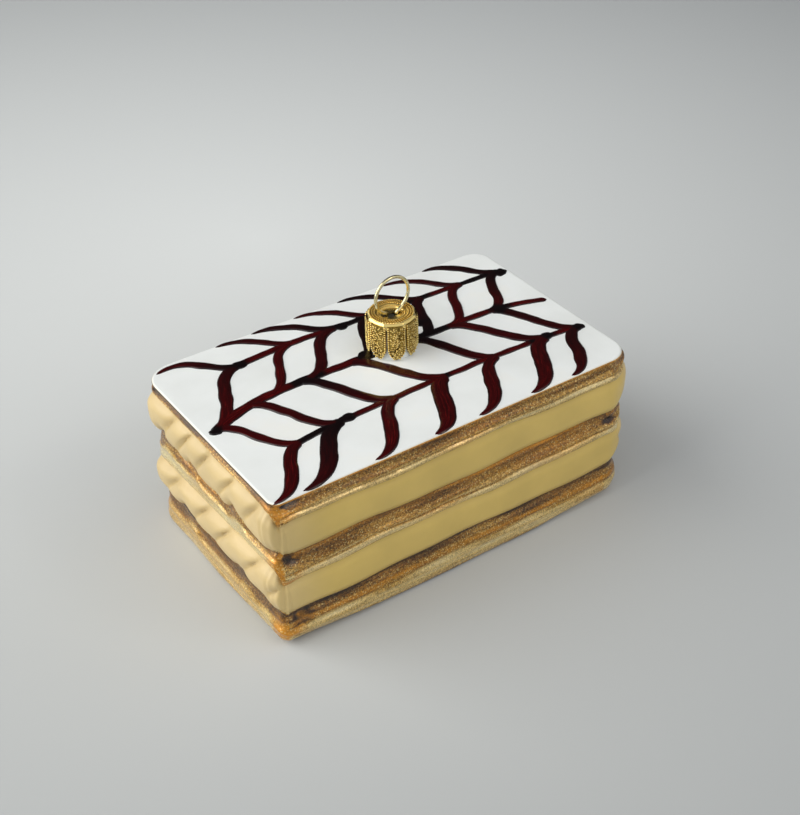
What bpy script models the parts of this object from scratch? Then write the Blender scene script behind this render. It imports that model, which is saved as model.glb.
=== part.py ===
"""A blown glass ornament in the shape of a slice of mille feuille.

Three pieces: the glass slice with its raised feather strokes and its neck, the
crown cap that sits over the neck, and the wire ring whose two legs go through
the cap's slot into the neck. Places on the top are given as the maker lays them
out: along the length from the left end, and in from the front edge, both in
millimetres. The origin is the middle of the flat underside, with the length
along X, the front towards -Y and Z up.
"""

import math

import bmesh
import bpy
from mathutils import Vector
from mathutils.geometry import interpolate_bezier

MM = 0.001

# The slice, in millimetres
LENGTH = 100.0
DEPTH = 61.6
HEIGHT = 42.0
ICING_THICKNESS = 0.7
# Corners anticlockwise from the front right: X side, Y side, radius, radius of the foot under it
CORNERS = ((1, -1, 6.0, 4.2), (1, 1, 5.0, 2.0), (-1, 1, 7.0, 1.5), (-1, -1, 2.4, 4.4))
CORNER_STEPS = 5
LONG_SIDE_STEPS = 18
END_STEPS = 26
# Heights where one layer meets the next, from the underside up
LONG_SIDE_SEAMS = (0.0, 9.8, 19.1, 26.3, 35.7, HEIGHT - ICING_THICKNESS)
END_SEAMS = (0.0, 10.8, 21.2, 27.6, 39.4, HEIGHT - ICING_THICKNESS)
SEAM_WAVE = 0.35
# Each layer's outline upwards: share of its height, swell on a long side, swell on an end
PASTRY_SWELL = ((0.1, 0.35, 0.2), (0.3, 0.05, -0.1), (0.46, 0.3, 0.15), (0.64, -0.35, -0.4),
                (0.93, -0.8, -0.9))
CREAM_SWELL = ((0.06, -0.2, 0.3), (0.26, 0.3, 1.3), (0.5, 0.4, 1.6), (0.76, 0.3, 1.5),
               (0.94, -0.15, 0.4))
# The foot is rounded, more so towards the corners: its radius between them, and how far they reach
FOOT_RADIUS = 0.9
FOOT_REACH = 36.0
# Foot and icing edge: height, or depth under the top, and how far in
FOOT_EDGE = ((0.0, 0.7), (0.45, 0.5))
ICING_EDGE = ((ICING_THICKNESS, 0.05), (0.25, 0.2), (0.0, 0.8))
# Piped lobes of cream on the two ends
LOBE_PITCH = 9.4
LOBE_SLANT = 0.85
LOBE_DEPTH = 1.7
LOBE_SCALLOP = 0.9

# Raised feather strokes of lacquer on the white top
STROKE_HEIGHT = 0.35
STROKE_SINK = 0.3
STROKE_STEPS = 9
EDGE_MARGIN = 1.0
REAR_STEM = ((18.0, 50.6), (36.0, 51.6), (60.0, 50.7), (98.0, 49.4))
MIDDLE_STEM = ((2.3, 30.0), (12.4, 34.2), (28.0, 36.0), (64.0, 35.2), (86.0, 34.6), (98.6, 31.0))
FRONT_STEM = ((14.5, 15.7), (28.0, 17.2), (60.0, 18.0), (88.0, 17.2), (97.0, 16.0))
STEM_WIDTHS = ((REAR_STEM, 2.5, 1.9), (MIDDLE_STEM, 3.3, 2.2), (FRONT_STEM, 2.4, 2.4))
STEM_STEPS = 16
REAR_EDGE = ((2.4, DEPTH - 2.9), (9.0, DEPTH - EDGE_MARGIN), (LENGTH, DEPTH - EDGE_MARGIN))
FRONT_EDGE = ((0.0, EDGE_MARGIN), (LENGTH, EDGE_MARGIN))
# Each row of seven strokes: the lines it runs between, how far a stroke keeps to each line before
# it turns as a share of its length along them, its width at the start and end as a share of the
# widest, where each stroke starts and ends along its lines, and its widest width
FEATHER_ROWS = (
    {"lines": (REAR_EDGE, REAR_STEM), "bends": (0.8, 0.3), "taper": (0.1, 0.8),
     "starts": (2.6, 19.6, 29.6, 41.7, 54.6, 68.5, 81.0),
     "ends": (20.3, 36.7, 48.9, 60.3, 73.9, 86.0, 97.0),
     "widths": (3.6, 2.8, 3.1, 2.7, 2.9, 2.7, 3.2)},
    {"lines": (REAR_STEM, MIDDLE_STEM), "bends": (0.42, 0.42), "taper": (0.8, 0.7),
     "starts": (21.0, 36.0, 48.5, 59.0, 74.0, 86.0, 98.0),
     "ends": (2.8, 19.0, 29.6, 44.6, 63.0, 71.0, 83.0),
     "widths": (3.8, 3.1, 3.9, 3.4, 3.8, 3.1, 3.4)},
    {"lines": (MIDDLE_STEM, FRONT_STEM), "bends": (0.1, 0.45), "taper": (0.8, 0.7),
     "starts": (2.8, 13.9, 28.1, 41.7, 59.6, 70.3, 83.1),
     "ends": (17.4, 28.1, 43.9, 58.9, 73.1, 88.1, 97.4),
     "widths": (3.4, 3.4, 3.8, 3.4, 3.7, 3.6, 3.9)},
    {"lines": (FRONT_STEM, FRONT_EDGE), "bends": (0.37, 0.59), "taper": (0.7, 0.4),
     "starts": (16.7, 28.9, 43.9, 58.1, 73.1, 88.1, 96.7),
     "ends": (2.2, 8.1, 26.4, 42.4, 54.6, 69.6, 81.7),
     "widths": (3.4, 4.4, 3.6, 4.5, 3.9, 5.0, 4.0)},
)
# Pools of lacquer where strokes meet: along, in from the front, radius
POOLS = ((20.5, 50.6, 2.2), (49.5, 50.6, 1.8), (97.6, 48.6, 2.0), (3.0, 30.0, 1.4), (46.0, 37.0, 1.9),
         (86.0, 33.6, 2.3), (30.0, 17.2, 2.2), (88.0, 17.4, 1.8), (96.6, 16.2, 1.9))
POOL_SIDES = 12

# The neck and the crown cap over it
CAP_PLACE = (54.3, 35.3)
NECK_RADIUS = 5.2
NECK_TOP = HEIGHT + 7.2
NECK_BORE = 3.9
NECK_BORE_FLOOR = HEIGHT - 6.0
NECK_SIDES = 32
CAP_TIP = HEIGHT + 0.3
CAP_TOP = HEIGHT + 10.4
CAP_PRONGS = 8
CAP_SIDES = 64
CAP_TURN = -6.0
# The cap's skin, from the tips up the outside to the crater, then back down the
# inside: radius, height, and how octagonal it is (0 round, 1 eight flat sides)
CAP_OUTSIDE = ((5.85, CAP_TIP, 0.0), (6.12, CAP_TIP + 1.4, 0.0), (6.2, CAP_TIP + 4.5, 0.1),
               (6.15, CAP_TOP - 1.0, 0.3), (6.0, CAP_TOP - 0.65, 1.0), (5.5, CAP_TOP, 1.0),
               (4.9, CAP_TOP, 0.3), (4.1, CAP_TOP + 0.1, 0.0), (3.65, CAP_TOP, 0.0),
               (3.4, CAP_TOP - 0.9, 0.0))
CAP_INSIDE = ((3.6, CAP_TOP - 1.4, 0.0), (4.6, CAP_TOP - 0.6, 0.0), (5.35, CAP_TOP - 1.2, 0.0),
              (5.45, CAP_TIP, 0.0))
SLIT_WIDTH = 0.35
SLIT_TOP = CAP_TOP - 1.4
TIP_NOTCH = 2.6
TIP_NOTCH_WIDTH = 2.3
SLOT_LENGTH = 5.2
SLOT_WIDTH = 2.0
SLOT_TURN = -12.0
SLOT_STEPS = 8

# The wire ring
WIRE_RADIUS = 0.43
RING_RADIUS = 4.75
RING_SHIFT = 0.35
RING_TURN = 2.0
RING_HEIGHT = HEIGHT + 14.8
RING_GAP = 1.9
LEG_SPREAD = 1.25
LEG_FOOT_SPREAD = 2.7
LEG_FOOT = HEIGHT - 4.0
LEG_TOP = HEIGHT + 9.7
RING_STEPS = 30


def clear_scene():
    for thing in list(bpy.data.objects):
        bpy.data.objects.remove(thing, do_unlink=True)


def make_material(name, color, roughness, metallic=0.0):
    material = bpy.data.materials.new(name)
    material.use_nodes = True
    shader = material.node_tree.nodes["Principled BSDF"]
    shader.inputs["Base Color"].default_value = (*color, 1.0)
    shader.inputs["Roughness"].default_value = roughness
    shader.inputs["Metallic"].default_value = metallic
    material.diffuse_color = (*color, 1.0)
    return material


def object_from(bm, name, collection=None):
    """Scale the millimetre mesh to metres and put it in the scene."""
    bmesh.ops.recalc_face_normals(bm, faces=bm.faces)
    bmesh.ops.scale(bm, vec=(MM, MM, MM), verts=bm.verts)
    mesh = bpy.data.meshes.new(name)
    bm.to_mesh(mesh)
    bm.free()
    thing = bpy.data.objects.new(name, mesh)
    (collection or bpy.context.scene.collection).objects.link(thing)
    return thing


def on_top(along, inwards):
    """A place on the top as X and Y from the middle of the slice."""
    return along - LENGTH / 2, inwards - DEPTH / 2


def smoothstep(value):
    value = min(max(value, 0.0), 1.0)
    return value * value * (3.0 - 2.0 * value)


def mix(first, second, share):
    return first + (second - first) * share


def bridge_rings(bm, rings):
    """Join each closed ring of vertices to the next with quads."""
    for lower, upper in zip(rings, rings[1:]):
        count = len(lower)
        for index in range(count):
            following = (index + 1) % count
            bm.faces.new((lower[index], lower[following], upper[following], upper[index]))


def outline_stations():
    """Points and outward directions round the slice, anticlockwise seen from above."""
    arcs = []
    for index, (side_x, side_y, radius, _) in enumerate(CORNERS):
        centre = Vector((side_x * (LENGTH / 2 - radius), side_y * (DEPTH / 2 - radius)))
        arc = []
        for step in range(CORNER_STEPS + 1):
            angle = math.radians(90.0 * (index - 1 + step / CORNER_STEPS))
            outward = Vector((math.cos(angle), math.sin(angle)))
            arc.append((centre + outward * radius, outward))
        arcs.append(arc)
    stations = []
    for index, arc in enumerate(arcs):
        stations.extend(arc)
        steps = END_STEPS if index % 2 == 0 else LONG_SIDE_STEPS
        start, outward = arc[-1]
        finish = arcs[(index + 1) % len(arcs)][0][0]
        for step in range(1, steps):
            stations.append((start.lerp(finish, step / steps), outward))
    return stations


def seam_height(seam, place, end_share):
    """Height of one seam between layers, waved by hand and scalloped under the lobes."""
    level = mix(LONG_SIDE_SEAMS[seam], END_SEAMS[seam], end_share)
    if seam in (0, len(END_SEAMS) - 1):
        return level
    wave = math.sin(place.x * 0.11 + seam * 1.7) + 0.5 * math.sin(place.x * 0.29 + seam)
    level += SEAM_WAVE * wave * (1.0 - end_share)
    if seam % 2 == 1:
        lobe = abs(math.cos(math.pi * (place.y + LOBE_SLANT * level) / LOBE_PITCH))
        level += LOBE_SCALLOP * (1.0 - lobe) * end_share
    return level


def foot_inset(place, height):
    """How far the rounding of the foot pulls the side in at this height."""
    radius = FOOT_RADIUS
    for side_x, side_y, _, corner_radius in CORNERS:
        corner = Vector((side_x * LENGTH / 2, side_y * DEPTH / 2))
        near = smoothstep(1.0 - (place - corner).length / FOOT_REACH)
        radius = max(radius, mix(FOOT_RADIUS, corner_radius, near))
    below = max(radius - height, 0.0)
    return radius - math.sqrt(radius * radius - below * below)


def slice_levels():
    """Rows of the slice from foot to top: seam below, share of the layer, and both swells."""
    levels = []
    for seam in range(len(END_SEAMS) - 1):
        cream = seam % 2 == 1
        for share, long_swell, end_swell in CREAM_SWELL if cream else PASTRY_SWELL:
            levels.append((seam, share, long_swell, end_swell, cream))
    return levels


def make_slice():
    """The layered block: rings of points from the foot to the icing's edge."""
    bm = bmesh.new()
    stations = outline_stations()
    rings = []
    for height, inset in FOOT_EDGE:
        rings.append([(place - outward * (inset + foot_inset(place, height)), height)
                      for place, outward in stations])
    for seam, share, long_swell, end_swell, cream in slice_levels():
        ring = []
        for place, outward in stations:
            end_share = smoothstep((abs(outward.x) - 0.45) / 0.55)
            height = mix(seam_height(seam, place, end_share),
                         seam_height(seam + 1, place, end_share), share)
            swell = mix(long_swell, end_swell, end_share)
            if cream:
                phase = math.pi * (place.y + LOBE_SLANT * height) / LOBE_PITCH
                crease = (1.0 - abs(math.cos(phase))) ** 1.5 * math.sin(math.pi * share ** 1.5)
                swell -= LOBE_DEPTH * crease * end_share ** 2
            ring.append((place + outward * (swell - foot_inset(place, height)), height))
        rings.append(ring)
    for depth, inset in ICING_EDGE:
        rings.append([(place - outward * inset, HEIGHT - depth) for place, outward in stations])
    vertex_rings = [[bm.verts.new((place.x, place.y, height)) for place, height in ring] for ring in rings]
    bridge_rings(bm, vertex_rings)
    bm.faces.new(vertex_rings[0])
    bm.faces.new(vertex_rings[-1])
    return object_from(bm, "glass_body")


def height_under_cap(place, height):
    """The lacquer thins out to nothing under the crown cap."""
    centre = Vector(on_top(*CAP_PLACE))
    clear = CAP_OUTSIDE[1][0] + 0.7
    share = smoothstep(((place - centre).length - NECK_RADIUS) / (clear - NECK_RADIUS))
    return mix(-STROKE_SINK / 2, height, share)


def add_stroke(name, path, widths, collection, sink):
    """A raised stroke along a path on the top, with a domed section."""
    bm = bmesh.new()
    sections = []
    for index, place in enumerate(path):
        ahead = path[min(index + 1, len(path) - 1)] - path[max(index - 1, 0)]
        aside = Vector((-ahead.y, ahead.x)).normalized()
        half = widths[index] / 2
        crown = height_under_cap(place, STROKE_HEIGHT * min(1.0, 0.45 + half / 2))
        section = []
        for across, rise in ((-1.0, -sink), (-0.72, crown * 0.75), (0.0, crown),
                             (0.72, crown * 0.75), (1.0, -sink)):
            spot = place + aside * half * across
            section.append(bm.verts.new((spot.x, spot.y, HEIGHT + rise)))
        sections.append(section)
    bridge_rings(bm, sections)
    bm.faces.new(sections[0])
    bm.faces.new(sections[-1])
    return object_from(bm, name, collection)


def add_pool(name, place, radius, collection):
    """A low dome of lacquer where strokes meet."""
    bm = bmesh.new()
    rings = []
    for reach, rise in ((1.0, -STROKE_SINK * 1.2), (0.82, STROKE_HEIGHT * 0.8), (0.4, STROKE_HEIGHT * 1.15)):
        ring = []
        for side in range(POOL_SIDES):
            angle = 2 * math.pi * side / POOL_SIDES
            spot = place + Vector((math.cos(angle), math.sin(angle))) * radius * reach
            ring.append(bm.verts.new((spot.x, spot.y, HEIGHT + rise)))
        rings.append(ring)
    bridge_rings(bm, rings)
    bm.faces.new(rings[0])
    bm.faces.new(rings[-1])
    return object_from(bm, name, collection)


def curve_through(points, steps):
    """A smooth path through the given places on the top."""
    places = [Vector(on_top(*point)) for point in points]
    path = [places[0]]
    for index in range(len(places) - 1):
        start, finish = places[index], places[index + 1]
        before = places[max(index - 1, 0)]
        after = places[min(index + 2, len(places) - 1)]
        share = max(2, round(steps * (finish - start).length / LENGTH))
        curve = interpolate_bezier(start, start + (finish - before) / 6,
                                   finish - (after - start) / 6, finish, share + 1)
        path.extend(Vector(spot[:2]) for spot in curve[1:])
    return path


def place_on_line(line, along):
    """The place on a stem or an edge at this distance from the left end, and which way it runs."""
    for (start, low), (finish, high) in zip(line, line[1:]):
        if along <= finish or finish == line[-1][0]:
            slope = (high - low) / (finish - start)
            return Vector(on_top(along, low + slope * (along - start))), Vector((1.0, slope))


def add_feather_strokes(collection):
    for number, (stem, wide, narrow) in enumerate(STEM_WIDTHS):
        path = curve_through(stem, STEM_STEPS)
        last = len(path) - 1
        widths = [mix(wide, narrow, index / last) for index in range(len(path))]
        add_stroke(f"stem_{number}", path, widths, collection, STROKE_SINK + 0.02 * number)
    for number, row in enumerate(FEATHER_ROWS):
        first_line, last_line = row["lines"]
        first_share, last_share = row["taper"]
        first_bend, last_bend = row["bends"]
        for column, widest in enumerate(row["widths"]):
            start, leaving = place_on_line(first_line, row["starts"][column])
            finish, arriving = place_on_line(last_line, row["ends"][column])
            reach = finish.x - start.x
            curve = interpolate_bezier(start, start + leaving * reach * first_bend,
                                       finish - arriving * reach * last_bend, finish, STROKE_STEPS)
            path = [Vector(spot[:2]) for spot in curve]
            widths = []
            for index in range(STROKE_STEPS):
                along = index / (STROKE_STEPS - 1)
                least = mix(first_share, last_share, along)
                widths.append(widest * mix(least, 1.0, math.sin(math.pi * along) ** 0.8))
            sink = STROKE_SINK + 0.01 * (number + 4 * (column % 3)) + 0.005
            add_stroke(f"stroke_{number}_{column}", path, widths, collection, sink)
    for number, (along, inwards, radius) in enumerate(POOLS):
        add_pool(f"pool_{number}", Vector(on_top(along, inwards)), radius, collection)


def make_cylinder(name, place, radius, low, high, collection=None):
    bm = bmesh.new()
    bmesh.ops.create_cone(bm, cap_ends=True, segments=NECK_SIDES, radius1=radius, radius2=radius,
                          depth=high - low)
    bmesh.ops.translate(bm, vec=(place[0], place[1], (low + high) / 2), verts=bm.verts)
    return object_from(bm, name, collection)


def apply_boolean(thing, operation, collection, solver="EXACT"):
    """Join or cut the thing with all of a collection, then remove the collection's objects."""
    modifier = thing.modifiers.new(operation.lower(), "BOOLEAN")
    modifier.operation = operation
    modifier.operand_type = "COLLECTION"
    modifier.collection = collection
    modifier.solver = solver
    bpy.context.view_layer.objects.active = thing
    bpy.ops.object.modifier_apply(modifier=modifier.name)
    for tool in list(collection.objects):
        bpy.data.objects.remove(tool, do_unlink=True)
    bpy.data.collections.remove(collection)


def tool_collection(name):
    collection = bpy.data.collections.new(name)
    bpy.context.scene.collection.children.link(collection)
    return collection


def make_glass_body():
    body = make_slice()
    centre = on_top(*CAP_PLACE)
    raised = tool_collection("raised_parts")
    add_feather_strokes(raised)
    make_cylinder("neck", centre, NECK_RADIUS, HEIGHT - 1.0, NECK_TOP, raised)
    apply_boolean(body, "UNION", raised, "MANIFOLD")
    drills = tool_collection("drills")
    make_cylinder("neck_drill", centre, NECK_BORE, NECK_BORE_FLOOR, NECK_TOP + 1.0, drills)
    apply_boolean(body, "DIFFERENCE", drills)
    body.data.materials.append(make_material("painted_glass", (0.82, 0.78, 0.66), 0.25))
    return body


def cap_radius(radius, octagonal, angle):
    """Radius of the cap at an angle, between round and eight flat sides."""
    eighth = math.radians(360.0 / CAP_PRONGS)
    offset = (angle - math.radians(CAP_TURN)) % eighth - eighth / 2
    flat = radius * math.cos(eighth / 2) / math.cos(offset)
    return mix(radius, flat, octagonal)


def make_cap_skin():
    """The crown as one skin, from the tips over the top and back down the inside."""
    bm = bmesh.new()
    rings = []
    for radius, height, octagonal in CAP_OUTSIDE + CAP_INSIDE:
        ring = []
        for side in range(CAP_SIDES):
            angle = 2 * math.pi * side / CAP_SIDES
            reach = cap_radius(radius, octagonal, angle)
            ring.append(bm.verts.new((reach * math.cos(angle), reach * math.sin(angle), height)))
        rings.append(ring)
    return bm, rings


def make_cap():
    """The crown cap, slit into prongs, with a slot for the wire in its crater."""
    bm, rings = make_cap_skin()
    outside = len(CAP_OUTSIDE)
    bridge_rings(bm, rings[:outside])
    bridge_rings(bm, rings[outside:])
    bridge_rings(bm, [rings[-1], rings[0]])
    bm.faces.new(rings[outside - 1])
    bm.faces.new(rings[outside])
    centre = on_top(*CAP_PLACE)
    bmesh.ops.translate(bm, vec=(centre[0], centre[1], 0.0), verts=bm.verts)
    cap = object_from(bm, "hanger_cap")
    cutters = tool_collection("cap_cutters")
    for number in range(CAP_PRONGS):
        add_slit_cutter(f"slit_{number}", 360.0 * number / CAP_PRONGS, centre, cutters)
    add_slot_cutter(centre, cutters)
    apply_boolean(cap, "DIFFERENCE", cutters)
    cap.data.materials.append(make_material("gold_cap", (0.72, 0.5, 0.16), 0.3, 1.0))
    return cap


def add_slit_cutter(name, turn, centre, collection):
    """A narrow slit that opens to a notch between two rounded prong tips."""
    half = SLIT_WIDTH / 2
    notch = TIP_NOTCH_WIDTH / 2
    profile = [(-half, SLIT_TOP), (-half, CAP_TIP + TIP_NOTCH), (-notch * 0.3, CAP_TIP + TIP_NOTCH * 0.4),
               (-notch, CAP_TIP - 0.2), (notch, CAP_TIP - 0.2), (notch * 0.3, CAP_TIP + TIP_NOTCH * 0.4),
               (half, CAP_TIP + TIP_NOTCH), (half, SLIT_TOP)]
    aim = math.radians(turn)
    bm = bmesh.new()
    rings = []
    for reach in (NECK_RADIUS, CAP_OUTSIDE[2][0] + 1.0):
        ring = []
        for across, height in profile:
            x = centre[0] + reach * math.cos(aim) - across * math.sin(aim)
            y = centre[1] + reach * math.sin(aim) + across * math.cos(aim)
            ring.append(bm.verts.new((x, y, height)))
        rings.append(ring)
    bridge_rings(bm, rings)
    bm.faces.new(rings[0])
    bm.faces.new(rings[-1])
    return object_from(bm, name, collection)


def add_slot_cutter(centre, collection):
    """A lens-shaped slot for the wire's two legs."""
    outline = []
    for side in (1, -1):
        for step in range(SLOT_STEPS):
            along = side * (1.0 - 2.0 * step / SLOT_STEPS)
            across = side * (1.0 - along * along)
            outline.append((along * SLOT_LENGTH / 2, across * SLOT_WIDTH / 2))
    aim = math.radians(SLOT_TURN)
    bm = bmesh.new()
    rings = []
    for height in (CAP_TOP - 2.0, CAP_TOP + 0.5):
        ring = []
        for along, across in outline:
            x = centre[0] + along * math.cos(aim) - across * math.sin(aim)
            y = centre[1] + along * math.sin(aim) + across * math.cos(aim)
            ring.append(bm.verts.new((x, y, height)))
        rings.append(ring)
    bridge_rings(bm, rings)
    bm.faces.new(rings[0])
    bm.faces.new(rings[-1])
    return object_from(bm, "wire_slot", collection)


def wire_route():
    """The wire as distances along its own plane and heights, from one foot to the other."""
    opening = math.asin(RING_GAP / RING_RADIUS)
    loop = []
    for step in range(RING_STEPS + 1):
        angle = mix(-math.pi / 2 + opening, 1.5 * math.pi - opening, step / RING_STEPS)
        loop.append((RING_SHIFT + RING_RADIUS * math.cos(angle), RING_HEIGHT + RING_RADIUS * math.sin(angle)))
    knee = (mix(LEG_FOOT_SPREAD, LEG_SPREAD, 0.5), mix(LEG_FOOT, LEG_TOP, 0.4))
    leg = [(LEG_FOOT_SPREAD, LEG_FOOT), knee, (LEG_SPREAD + 0.1, LEG_TOP - 2.0),
           (LEG_SPREAD, LEG_TOP - 0.9), (LEG_SPREAD, LEG_TOP - 0.1), (LEG_SPREAD + 0.18, LEG_TOP + 0.35)]
    far_leg = [(-along, height) for along, height in reversed(leg)]
    return leg + loop + far_leg


def make_wire():
    """The ring and its two legs, in one bent wire."""
    centre = on_top(*CAP_PLACE)
    data = bpy.data.curves.new("hanger_wire", "CURVE")
    data.dimensions = "3D"
    data.bevel_depth = WIRE_RADIUS * MM
    data.bevel_resolution = 2
    data.use_fill_caps = True
    route = wire_route()
    spline = data.splines.new("POLY")
    spline.points.add(len(route) - 1)
    for point, (along, height) in zip(spline.points, route):
        share = smoothstep((height - LEG_TOP) / 1.5)
        aim = math.radians(mix(SLOT_TURN, RING_TURN, share))
        point.co = ((centre[0] + along * math.cos(aim)) * MM,
                    (centre[1] + along * math.sin(aim)) * MM, height * MM, 1.0)
    wire = bpy.data.objects.new("hanger_wire", data)
    bpy.context.scene.collection.objects.link(wire)
    data.materials.append(make_material("gold_wire", (0.8, 0.68, 0.38), 0.2, 1.0))
    return wire


def smooth_round_pieces(*pieces):
    for piece in pieces:
        piece.data.shade_smooth()
        piece.data.set_sharp_from_angle(angle=math.radians(40.0))


def main():
    clear_scene()
    body = make_glass_body()
    cap = make_cap()
    make_wire()
    smooth_round_pieces(body, cap)


main()
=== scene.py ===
import math
import random

import bmesh
import bpy
import numpy as np
from mathutils import Matrix, Vector, noise
from mathutils.geometry import interpolate_bezier


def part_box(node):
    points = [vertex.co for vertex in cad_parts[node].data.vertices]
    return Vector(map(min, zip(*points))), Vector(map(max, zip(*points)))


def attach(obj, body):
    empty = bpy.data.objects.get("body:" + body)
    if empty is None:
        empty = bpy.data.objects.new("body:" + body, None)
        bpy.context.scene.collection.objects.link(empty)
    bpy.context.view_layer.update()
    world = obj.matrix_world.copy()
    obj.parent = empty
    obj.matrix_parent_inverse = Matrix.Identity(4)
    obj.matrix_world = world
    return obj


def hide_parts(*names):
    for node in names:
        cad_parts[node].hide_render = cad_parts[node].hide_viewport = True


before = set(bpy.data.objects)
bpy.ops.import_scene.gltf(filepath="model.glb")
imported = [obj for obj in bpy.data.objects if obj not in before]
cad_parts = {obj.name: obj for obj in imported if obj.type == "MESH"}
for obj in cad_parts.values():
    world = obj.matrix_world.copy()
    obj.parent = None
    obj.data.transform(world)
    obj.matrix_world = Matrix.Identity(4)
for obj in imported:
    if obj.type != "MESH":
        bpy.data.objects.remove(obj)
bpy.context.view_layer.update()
print("frame loaded")

mm = 0.001


def deselectAll():
    if bpy.context.object and bpy.context.object.mode != "OBJECT":
        bpy.ops.object.mode_set(mode="OBJECT")
    bpy.ops.object.select_all(action="DESELECT")


def activate(piece):
    deselectAll()
    piece.select_set(True)
    bpy.context.view_layer.objects.active = piece


def joinPieces(pieces, name):
    deselectAll()
    for piece in pieces:
        piece.select_set(True)
    bpy.context.view_layer.objects.active = pieces[0]
    bpy.ops.object.join()
    joined = bpy.context.object
    joined.name = name
    return joined


def settle(piece):
    # its place goes into the mesh, so the object itself sits at the origin
    activate(piece)
    bpy.ops.object.transform_apply(location=True, rotation=True, scale=True)


def smoothShade(piece, degrees):
    activate(piece)
    bpy.ops.object.shade_smooth_by_angle(angle=math.radians(degrees))


def applyModifier(piece, kind, **settings):
    activate(piece)
    modifier = piece.modifiers.new(kind.lower(), kind)
    for setting, value in settings.items():
        setattr(modifier, setting, value)
    bpy.ops.object.modifier_apply(modifier=modifier.name)


def getPoints(piece):
    points = np.empty(len(piece.data.vertices) * 3)
    piece.data.vertices.foreach_get("co", points)
    return points.reshape(-1, 3)


def setPoints(piece, points):
    piece.data.vertices.foreach_set("co", np.asarray(points, dtype=np.float32).ravel())
    piece.data.update()


def addPointAttribute(piece, name, values):
    attribute = piece.data.attributes.new(name, "FLOAT", "POINT")
    attribute.data.foreach_set("value", np.asarray(values, dtype=np.float32).ravel())


def smoothStep(value):
    value = np.clip(value, 0.0, 1.0)
    return value * value * (3.0 - 2.0 * value)


def mix(first, second, share):
    return first + (second - first) * share


def hump(distance, reach):
    # 1 at no distance, falling smoothly to 0 at the reach
    return smoothStep(1.0 - np.abs(distance) / reach)


def curveAt(points, at):
    # a smooth curve through (place, value) points, read at a place
    places = [point[0] for point in points]
    values = [point[1] for point in points]
    index = min(max(sum(1 for place in places if place <= at) - 1, 0), len(places) - 2)
    before = values[max(index - 1, 0)]
    after = values[min(index + 2, len(values) - 1)]
    start, finish = values[index], values[index + 1]
    share = (at - places[index]) / (places[index + 1] - places[index])
    leave = (finish - before) / 2
    arrive = (after - start) / 2
    share2 = share * share
    share3 = share2 * share
    return ((2 * share3 - 3 * share2 + 1) * start + (share3 - 2 * share2 + share) * leave
            + (3 * share2 - 2 * share3) * finish + (share3 - share2) * arrive)


def noiseField(first, second, third):
    # smooth noise between about -1 and 1 for three arrays of coordinates
    flat = zip(np.ravel(first), np.ravel(second), np.ravel(third))
    return np.array([noise.noise(Vector(spot)) for spot in flat]).reshape(np.shape(first))


def linear(code):
    # an sRGB hex colour as linear light
    parts = [int(code[start:start + 2], 16) / 255 for start in (1, 3, 5)]
    return [part / 12.92 if part <= 0.04045 else ((part + 0.055) / 1.055) ** 2.4 for part in parts] + [1.0]


def addNode(material, kind, settings=None, links=None):
    # settings are properties or, by socket name or number, input values; links are input: output
    node = material.node_tree.nodes.new(kind)
    for name, value in (settings or {}).items():
        if isinstance(name, str) and hasattr(node, name):
            setattr(node, name, value)
        else:
            node.inputs[name].default_value = value
    for name, output in (links or {}).items():
        material.node_tree.links.new(output, node.inputs[name])
    return node


def newMaterial(name, settings):
    material = bpy.data.materials.new(name)
    material.use_nodes = True
    shader = material.node_tree.nodes["Principled BSDF"]
    for socket, value in settings.items():
        shader.inputs[socket].default_value = value
    return material, shader


def link(material, output, socket):
    material.node_tree.links.new(output, socket)


def rampStops(node, stops):
    ramp = node.color_ramp
    while len(ramp.elements) < len(stops):
        ramp.elements.new(0.5)
    for element, (place, colour) in zip(ramp.elements, stops):
        element.position = place
        element.color = linear(colour)


# The camera and the light

view = {
    "lens": 64.05,
    "azimuth": -33.495,
    "elevation": 35.608,
    "roll": -1.452,
    "distance": 360.24,
    "target": (4.964, 2.776, 25.0),
}


def makeCamera():
    turn = math.radians(view["azimuth"])
    lift = math.radians(view["elevation"])
    back = Vector((math.sin(turn) * math.cos(lift), -math.cos(turn) * math.cos(lift), math.sin(lift)))
    place = (Vector(view["target"]) + back * view["distance"]) * mm
    aim = (-back).to_track_quat("-Z", "Y").to_matrix().to_4x4()
    roll = Matrix.Rotation(math.radians(view["roll"]), 4, "Z")
    bpy.ops.object.camera_add()
    camera = bpy.context.object
    camera.matrix_world = Matrix.Translation(place) @ aim @ roll
    camera.data.lens = view["lens"]
    camera.data.clip_start = 0.01
    bpy.context.scene.camera = camera


studio = {
    "sky": 0.73,
    "skyColour": "#f7f9ff",
    "darkSide": (0.452, 0.683, 0.574),       # way to the unlit far wall, which gloss on the top mirrors
    "darkWall": 0.04,
    "lamps": (
        # name, place in metres, size in metres, watts, colour
        ("keyLamp", (-0.72, 0.34, 0.46), 1.2, 9.2, "#fffdf8"),
        ("fillLamp", (0.3, -0.92, 0.72), 0.60, 1.2, "#fffaf0"),
        ("glintLamp", (0.45, -0.58, 0.68), 0.22, 0.6, "#fffaf0"),
    ),
    "floorSize": 6.0,
    # the floor's tone is a painted pool of light: pale at the bright spot, deep away from it
    "floorPaintedLit": "#dfe2e0",
    "floorPaintedShade": "#9a9d9d",
    "paintedLightSpot": (0.04, 0.14),
    "paintedLightReach": 0.40,
}


def addLamp(name, place, size, watts, colour):
    bpy.ops.object.light_add(type="AREA", location=place)
    lamp = bpy.context.object
    lamp.name = name
    lamp.data.shape = "DISK"
    lamp.data.size = size
    lamp.data.energy = watts
    lamp.data.color = linear(colour)[:3]
    lamp.rotation_euler = (-Vector(place)).to_track_quat("-Z", "Y").to_euler()


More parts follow.
